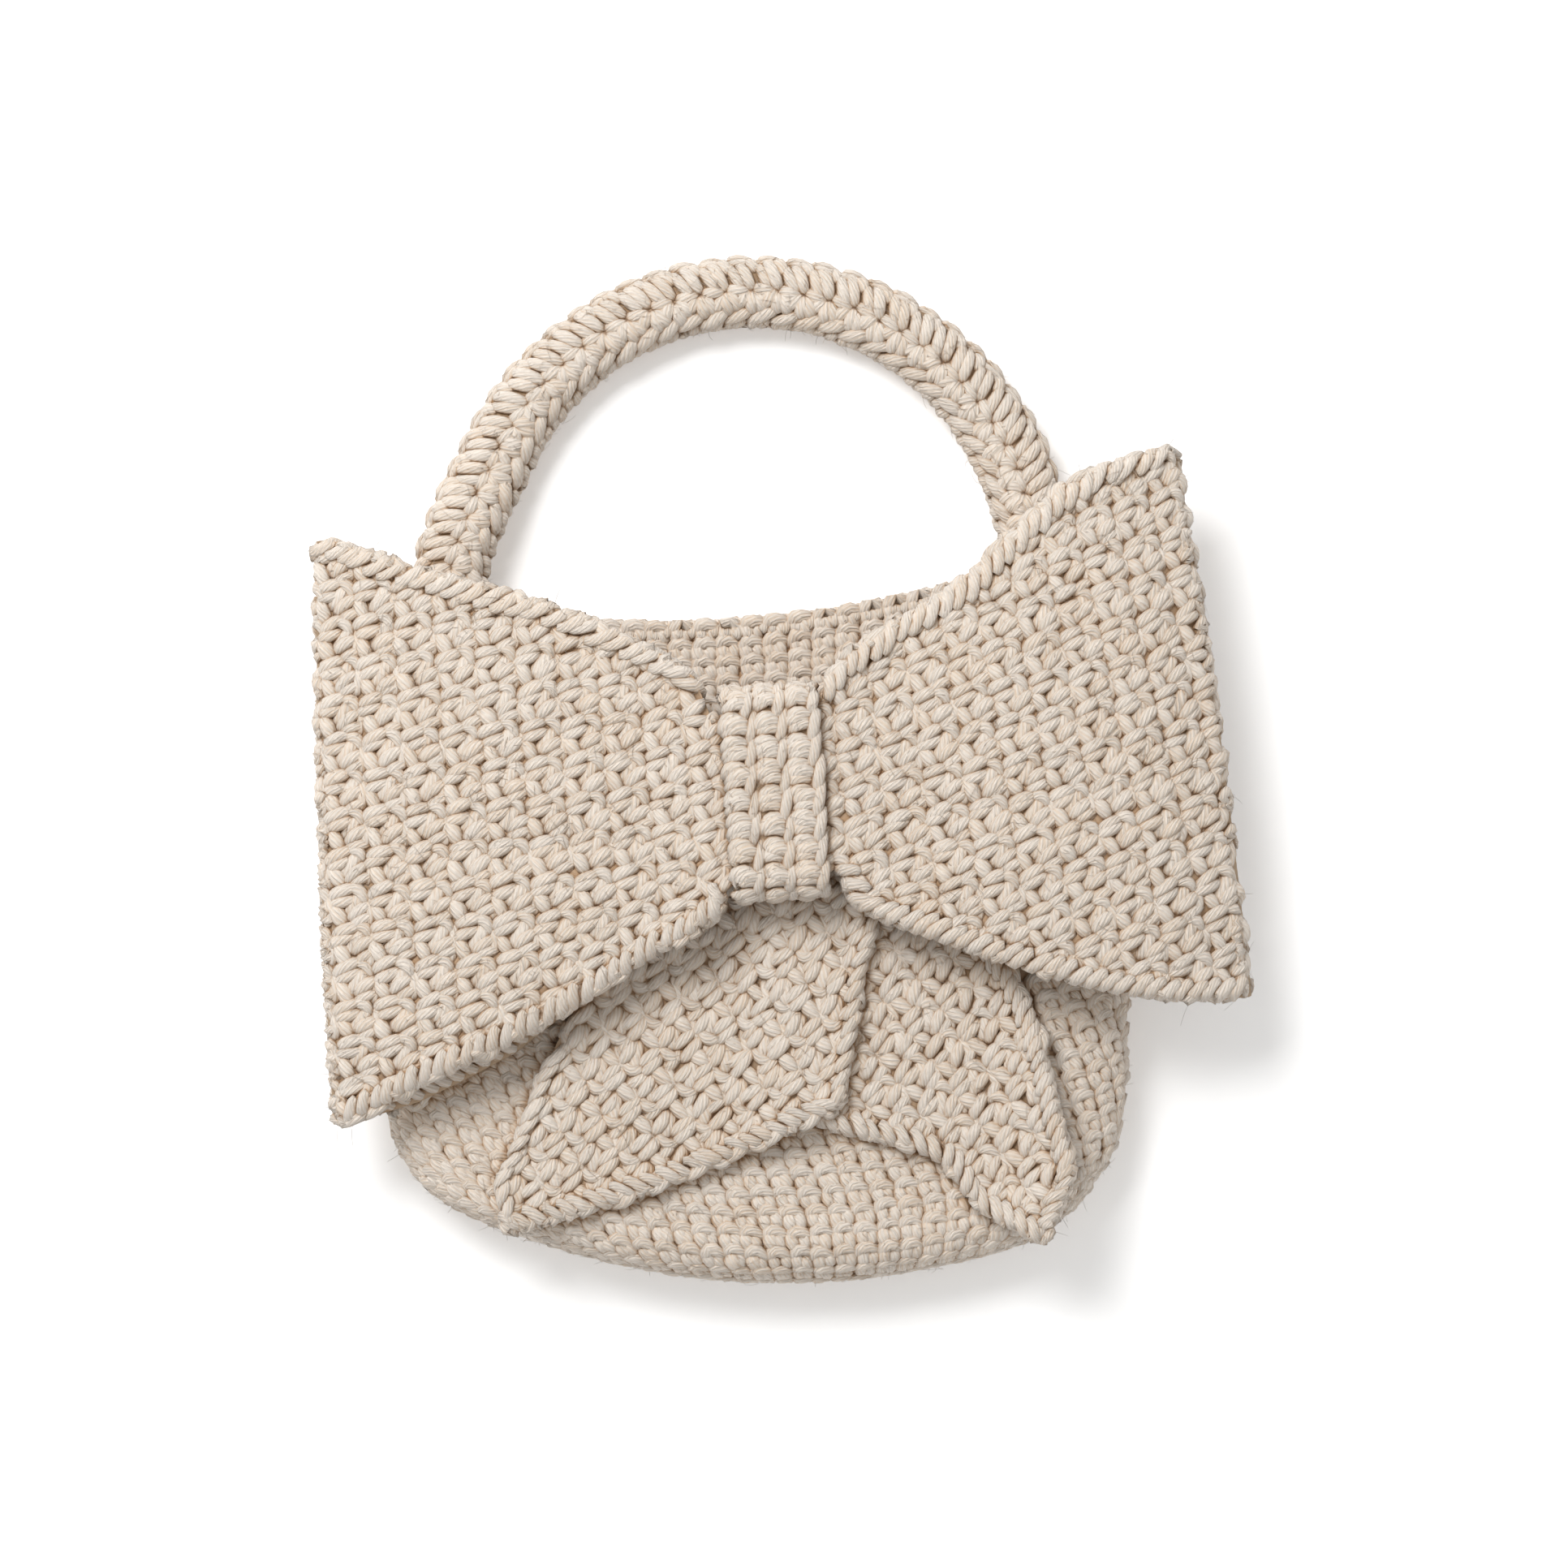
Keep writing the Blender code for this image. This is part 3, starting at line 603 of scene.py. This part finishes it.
def arch_line(surface):
    """Middle line of the handle and its half height, felt from all sides."""
    found = []
    for angle in np.radians(np.arange(*ARCH_ANGLES, 1.0)):
        ray = Vector((math.cos(angle), math.sin(angle), 0.0))
        level = Vector((0.0, 0.0, 9.0 * MM))
        outer = surface.ray_cast(ARCH_MIDDLE + level + ray * 0.2, -ray)[0]
        inner = surface.ray_cast(ARCH_MIDDLE + level, ray)[0]
        if outer is None or inner is None:
            continue
        middle = (outer + inner) / 2.0
        top = surface.ray_cast(middle + Vector((0, 0, 0.1)), Vector((0, 0, -1)))[0]
        low = surface.ray_cast(middle - Vector((0, 0, 0.1)), Vector((0, 0, 1)))[0]
        if top is not None:
            found.append((middle.x, middle.y, (top.z + low.z) / 2.0, (top.z - low.z) / 2.0))
    return np.array(found[::-1])


handle = core_cloth("handle_core", "handle")
handle_skin = feel("handle")
arch = arch_line(handle_skin)
arch_runs = np.concatenate([[0], np.cumsum(np.linalg.norm(np.diff(arch[:, :2], axis=0), axis=1))])
handle_stitches = round(arch_runs[-1] / HANDLE_PITCH)


def handle_place(along, angle):
    """Skin of the handle: along in stitches from the left foot, angle round it, in turns.

    The angle is 0 on top, a quarter turn on the inner side of the arch.
    """
    run = along / handle_stitches * arch_runs[-1]
    x, y, z, tall = [np.interp(run, arch_runs, arch[:, part]) for part in range(4)]
    ahead = [np.interp(run + MM, arch_runs, arch[:, part]) for part in range(2)]
    behind = [np.interp(run - MM, arch_runs, arch[:, part]) for part in range(2)]
    onward = np.stack([ahead[0] - behind[0], ahead[1] - behind[1]], axis=-1)
    onward /= length_of(onward)
    sideways, upward = np.sin(2 * math.pi * angle), np.cos(2 * math.pi * angle)
    width = HANDLE_HALF_WIDTH * sideways
    return np.stack(
        [x + onward[..., 1] * width, y - onward[..., 0] * width, z + tall * upward], axis=-1
    )


along, side, lift, thick = work_rows(
    HANDLE_STITCH, np.arange(1, handle_stitches + 1), [0], HANDLE_WOBBLE, seed=21
)
places, outs = nearest_on(
    handle_skin, handle_place(along, np.arcsin(np.clip(side, -1, 1)) / (2 * math.pi))
)
lines = stand_out(places, outs, lift)
handle_top = spin("handle_top", lines, outs, thick, sides=8, seed=6)
handle_fluff = fluff("handle_fluff", lines, outs, count=700, seed=62)

# Underside of the handle: plain rows of single crochet, in turns round it
along, round_it, lift, thick = work_rows(
    SINGLE_CROCHET, np.arange(handle_stitches + 1), np.arange(UNDER_ROWS), HANDLE_WOBBLE, seed=22
)
places, outs = nearest_on(handle_skin, handle_place(along, UNDER_START + round_it * UNDER_ROW))
lines = stand_out(places, outs, lift)
handle_under = spin("handle_under", lines, outs, thick, sides=6, seed=7)
handle_top.parent = handle
handle_under.parent = handle
handle_fluff.parent = handle


# Bow: one long strip in seed stitch, sewn into a loop, flattened and pinched in
# the middle. Pairs of strands lie over single posts, and every other row is set
# over by half a repeat. Its upper and lower edges end in a slanted rope.
SEED_WIDTH = 11.1 * MM
SEED_HEIGHT = 10.4 * MM
SEED_WOBBLE = 0.036
SEED_STITCH = (
    Strand((-0.02, 0.70), (0.27, 0.87), (0.62, 0.97), (-0.5, 1.2, 0.0), 1.18),
    Strand((0.58, 0.95), (0.82, 0.86), (0.89, 0.56), (0.1, 0.6, -0.4), 1.16),
    Strand((-0.02, 0.49), (0.27, 0.60), (0.62, 0.70), (-0.5, 1.1, -0.2), 1.12),
    Strand((0.11, 0.48), (0.20, 0.20), (0.29, -0.08), (-0.2, 0.6, -0.5), 1.40),
    Strand((0.44, 0.14), (0.70, 0.36), (0.99, 0.50), (-0.5, 1.0, -0.2), 1.22),
    Strand((0.50, -0.04), (0.78, 0.12), (1.06, 0.20), (-0.5, 0.6, -0.4), 1.06),
    Strand((0.36, 0.24), (0.60, 0.52), (0.78, 0.78), (-0.5, -0.2, -0.3), 1.50),
    Strand((0.88, -0.02), (1.02, 0.34), (1.04, 0.70), (-0.5, -0.3, -0.5), 1.36),
)
KNOT = np.array((-2.7 * MM, -6.5 * MM))
BOW_TILT = math.radians(6.5)
BAND_COVER = 9.5 * MM
BAND_COVER_UP = 26.0 * MM
UNDER_POUCH = 14.0 * MM
FOLD_RADIUS = 5.5 * MM
FOLD_FROM = 95.0 * MM
BOW_WALL = 3.8 * MM
EDGE_SNAP = 2.6 * MM
EDGE_TUCK = 1.0 * MM
LONGEST_STEP = 2.6 * MM
ROPE_LIFT = 0.5 * MM
EDGE_INSET = 0.9 * MM
BACK_EDGE_INSET = 2.0 * MM

# Height between the bow's front and back layer, by distance from its middle
SPLIT_OUT = (0.020, 0.040, 0.060, 0.075, 0.100, 0.118)
SPLIT_LEVEL = (0.0442, 0.0426, 0.0401, 0.0380, 0.0350, 0.0325)

# A rope along an edge: how far apart its strands are, how far each reaches in
# over the cloth and leans along the edge, and its thickness in yarn radii
Hem = namedtuple("Hem", "pitch reach slant thick")
UPPER_HEM = Hem(4.5 * MM, 4.8 * MM, 11.0 * MM, 1.32)
LOWER_HEM = Hem(4.1 * MM, 4.8 * MM, -8.5 * MM, 1.32)

# Each wing: its middle, the slope of its rows there, how fast that grows, and
# the stretches of its upper and lower edge, in degrees round its middle
Wing = namedtuple("Wing", "middle slope bend upper lower")
WINGS = (
    Wing((-70.0 * MM, -8.0 * MM), 0.075, 0.5, (128.0, 31.5), (-119.0, -26.0)),
    Wing((70.0 * MM, 5.0 * MM), 0.175, 1.3, (163.0, 67.0), (-150.0, -51.0)),
)


def between_layers(x, side):
    """Level that parts the bow's front, seen from above (1), from its back, from below (-1)."""
    return np.interp(abs(x), SPLIT_OUT, SPLIT_LEVEL) - (BOW_WALL if side < 0 else 0.0)


def press(surface, x, y, side, level):
    """Strands laid by their plan on one layer of a cloth, from above (1) or below (-1).

    Past the bow's folds they go on round them, and at other edges they dive in there.
    Strands that would lie beside the cloth get no place.
    """
    places = np.full(x.shape + (3,), np.nan)
    outs = np.zeros(x.shape + (3,))
    half = x.shape[1] // 2
    for row in range(len(x)):
        near = None
        for i in sorted(range(x.shape[1]), key=lambda step: abs(step - half)):
            spot = Vector((x[row, i], y[row, i], side * 0.2))
            place, out, _, _ = surface.ray_cast(spot, Vector((0, 0, -side)))
            if place is not None and side * (place.z - level(place.x, side)) > 0.0:
                near = place.z if near is None else near
                places[row, i], outs[row, i] = place, out
                continue
            spot.z = level(spot.x, side)
            edge = surface.find_nearest(spot)[0]
            past = math.hypot(edge.x - spot.x, edge.y - spot.y)
            at_fold = level is between_layers and abs(spot.x) > FOLD_FROM
            if at_fold and abs(edge.x - spot.x) > abs(edge.y - spot.y):
                if past > FOLD_RADIUS:
                    break
                spot.z = edge.z + side * (FOLD_RADIUS - past)
                place, out, _, _ = surface.find_nearest(spot)
            elif near is not None:
                spot.z = near
                place, out, _, _ = surface.find_nearest(spot)
                if (place - spot).length > EDGE_SNAP:
                    break
                place = place - out * EDGE_TUCK
            else:
                break
            places[row, i], outs[row, i] = place, out
    return places, outs


def outline(surface, middle, angles, side, level):
    """Outline of a layer as seen from above or below, at even angles round its middle."""
    found = []
    for angle in np.radians(np.linspace(*angles, 60)):
        reach, step = 0.0, 4.0 * MM
        while step > 0.02 * MM:
            x = middle[0] + (reach + step) * math.cos(angle)
            y = middle[1] + (reach + step) * math.sin(angle)
            hit = surface.ray_cast(Vector((x, y, side * 0.2)), Vector((0, 0, -side)))[0]
            if hit is None or side * (hit.z - level(x, side)) < 0.0:
                step /= 2.0
            else:
                reach, last = reach + step, hit
        found.append(last)
    return np.array(found)


def bind_outline(surface, middle, angles, side, level, hem, seed, wrap=0.8):
    """Slanted rope along a stretch of a layer's outline."""
    edge = outline(surface, middle, angles, side, level)
    onward = np.gradient(edge, axis=0)
    outward = np.stack([onward[:, 1], -onward[:, 0], np.zeros(len(edge))], axis=-1)
    away = edge[:, :2] - np.array(middle)
    outward *= np.sign((outward[:, :2] * away).sum(axis=1, keepdims=True))
    outward /= length_of(outward)
    normal = np.tile([0.0, 0.0, float(side)], (len(edge), 1))
    edge[:, 2] -= side * BOW_WALL / 2.0
    inset = EDGE_INSET if side > 0 else BACK_EDGE_INSET
    lines, outs, thick = bind_edge(
        edge - outward * inset, outward, normal, BOW_WALL, *hem, seed=seed, wrap=wrap
    )
    facing = side * outs[:, :, 2] > 0.15
    for strand, step in zip(*np.nonzero(facing)):
        point = lines[strand, step]
        over = Vector((point[0], point[1], side * 0.2))
        hit = surface.ray_cast(over, Vector((0, 0, -side)))[0]
        if hit is not None and side * (hit.z - level(hit.x, side)) > 0.0:
            point[2] = side * max(side * point[2], side * hit.z + ROPE_LIFT)
    return lines, outs, thick


def lay_stitches(surface, stitch, cell, middle, slope, bend, turn, side, level, seed, span=17):
    """Stitches laid on a cloth in sloping rows about its middle, cut off at its outline."""
    rows = np.arange(-span, span)
    u, v, lift, thick = work_rows(stitch, rows, rows, SEED_WOBBLE, seed)
    u, v = u * cell[0] * turn, v * cell[1] * turn
    angle = math.atan(slope) + bend * u
    x = middle[0] + u * math.cos(math.atan(slope)) - v * np.sin(angle)
    y = middle[1] + u * (slope + angle) / 2.0 * math.cos(math.atan(slope)) + v * np.cos(angle)
    places, outs = press(surface, x, y, side, level)
    strides = np.linalg.norm(np.diff(places, axis=1), axis=2)
    kept = (strides < LONGEST_STEP).all(axis=1)
    places, outs, lift, thick = places[kept], outs[kept], lift[kept], thick[kept]
    return stand_out(places, outs, lift), outs, thick


bow = core_cloth("bow_core", "bow_loop")
for name, wing in zip(("left", "right"), WINGS):
    for face, side in (("front", 1), ("back", -1)):
        lines, outs, thick = lay_stitches(
            bow_skin, SEED_STITCH, (SEED_WIDTH, SEED_HEIGHT), wing.middle, wing.slope,
            wing.bend, 1.0, side, between_layers, seed=31 + side,
        )
        plan = lines[:, 3, :2] - KNOT
        beside = np.abs(plan[:, 0] * math.cos(BOW_TILT) + plan[:, 1] * math.sin(BOW_TILT))
        above = np.abs(plan[:, 1] * math.cos(BOW_TILT) - plan[:, 0] * math.sin(BOW_TILT))
        kept = (beside > BAND_COVER) | (above > BAND_COVER_UP)
        kept &= np.sign(plan[:, 0]) == np.sign(wing.middle[0])
        if side < 0:
            kept &= ~hidden_under(lines[:, 3], (pouch_skin,), -1.0, UNDER_POUCH)
        spin(
                f"wing_{name}_{face}", lines[kept], outs[kept], thick[kept],
                sides=6 + side, seed=8 + side,
            )
        ropes = [
            bind_outline(
                bow_skin, wing.middle, angles, side, between_layers, hem,
                seed=33, wrap=0.9 - 0.1 * side,
            )
            for angles, hem in ((wing.upper, UPPER_HEM), (wing.lower, LOWER_HEM))
        ]
        if side > 0:
            fluff(
                    f"wing_{name}_fluff", lines[kept], outs[kept], count=900, seed=63
                )
        lines, outs, thick = [np.concatenate(part) for part in zip(*ropes)]
        spin(
                f"wing_{name}_{face}_edge", lines, outs, thick, sides=7, seed=12
            )


# Tails: two more strips of the same cloth that hang from the knot. The left one
# was worked from its other end, so its stitches stand on their heads.
SMOOTH_HEM = Hem(4.6 * MM, 2.4 * MM, 11.0 * MM, 1.25)
ROPE_HEM = Hem(4.0 * MM, 5.0 * MM, 9.0 * MM, 1.25)
ROLLED_HEM = Hem(3.6 * MM, 4.4 * MM, 10.0 * MM, 1.25)


def on_top(x, side):
    """Level for a cloth of one layer, which lies wholly above it."""
    return 0.0


for name, skin, middle, slope, turn, hems in (
    (
        "tail_left", left_skin, (-18.0 * MM, -86.0 * MM), 0.45, -1.0,
        (((-190.0, -146.0), SMOOTH_HEM), ((-145.0, -8.0), ROPE_HEM), ((-7.0, 60.0), SMOOTH_HEM)),
    ),
    (
        "tail_right", right_skin, (44.0 * MM, -85.0 * MM), 0.75, 1.0,
        (((-180.0, -60.0), ROPE_HEM), ((-52.0, 80.0), ROLLED_HEM)),
    ),
):
    core = core_cloth(name + "_core", name)
    lines, outs, thick = lay_stitches(
        skin, SEED_STITCH, (SEED_WIDTH, SEED_HEIGHT), middle, slope, 0.0, turn, 1, on_top,
        seed=41, span=9,
    )
    ropes = [
        bind_outline(skin, middle, angles, 1, on_top, hem, seed=43)
        for angles, hem in hems
    ]
    stitches = spin(name + "_stitches", lines, outs, thick, sides=7, seed=13)
    loose = fluff(name + "_fluff", lines, outs, count=300, seed=64)
    lines, outs, thick = [np.concatenate(part) for part in zip(*ropes)]
    edge = spin(name + "_edge", lines, outs, thick, sides=7, seed=14)


# Band: a strip in ribs, sewn into a ring round the waist of the bow. Each rib is
# a ladder of plump strands beside one long smooth strand.
RIB_WIDTH = 8.6 * MM
RIB_STEP = 6.9 * MM
RIB_WOBBLE = 0.04
BAND_TILT = math.radians(3.8)
BAND_HALF_HEIGHT = 28.75 * MM
BAND_RADIUS = 8.0 * MM
BAND_LEVEL = 42.8 * MM
RIB_STITCH = (
    Strand((0.04, 0.56), (0.30, 0.92), (0.74, 0.76), (-0.6, 1.0, -0.2), 1.20),
    Strand((0.02, 0.36), (0.36, 0.68), (0.80, 0.50), (-0.6, 1.2, -0.2), 1.28),
    Strand((0.06, 0.16), (0.40, 0.42), (0.78, 0.26), (-0.6, 1.0, -0.4), 1.24),
    Strand((0.72, -0.30), (0.88, 0.40), (1.00, 1.10), (-0.4, 0.9, -0.3), 1.06),
)


def band_place(across, around):
    """Outside of the band: across its width, and around from the middle of its face."""
    flat = BAND_HALF_HEIGHT - BAND_RADIUS
    past = np.clip(np.abs(around) - flat, 0.0, math.pi * BAND_RADIUS)
    turn = past / BAND_RADIUS
    v = np.sign(around) * (np.minimum(np.abs(around), flat) + BAND_RADIUS * np.sin(turn))
    z = BAND_LEVEL + BAND_RADIUS * np.cos(turn)
    cos, sin = math.cos(BAND_TILT), math.sin(BAND_TILT)
    return np.stack([KNOT[0] + across * cos - v * sin, KNOT[1] + across * sin + v * cos, z], -1)


band = core_cloth("band_core", "bow_band")
band_skin = feel("bow_band")
across, around, lift, thick = work_rows(
    RIB_STITCH, np.arange(3), np.arange(-6, 6), RIB_WOBBLE, seed=51
)
places, outs = nearest_on(
    band_skin, band_place((across - 1.5) * RIB_WIDTH, (around + 0.15) * RIB_STEP)
)
lines = stand_out(places, outs, lift)
band_ribs = spin("band_ribs", lines, outs, thick, sides=8, seed=15)
band_fluff = fluff("band_fluff", lines, outs, count=200, seed=65)
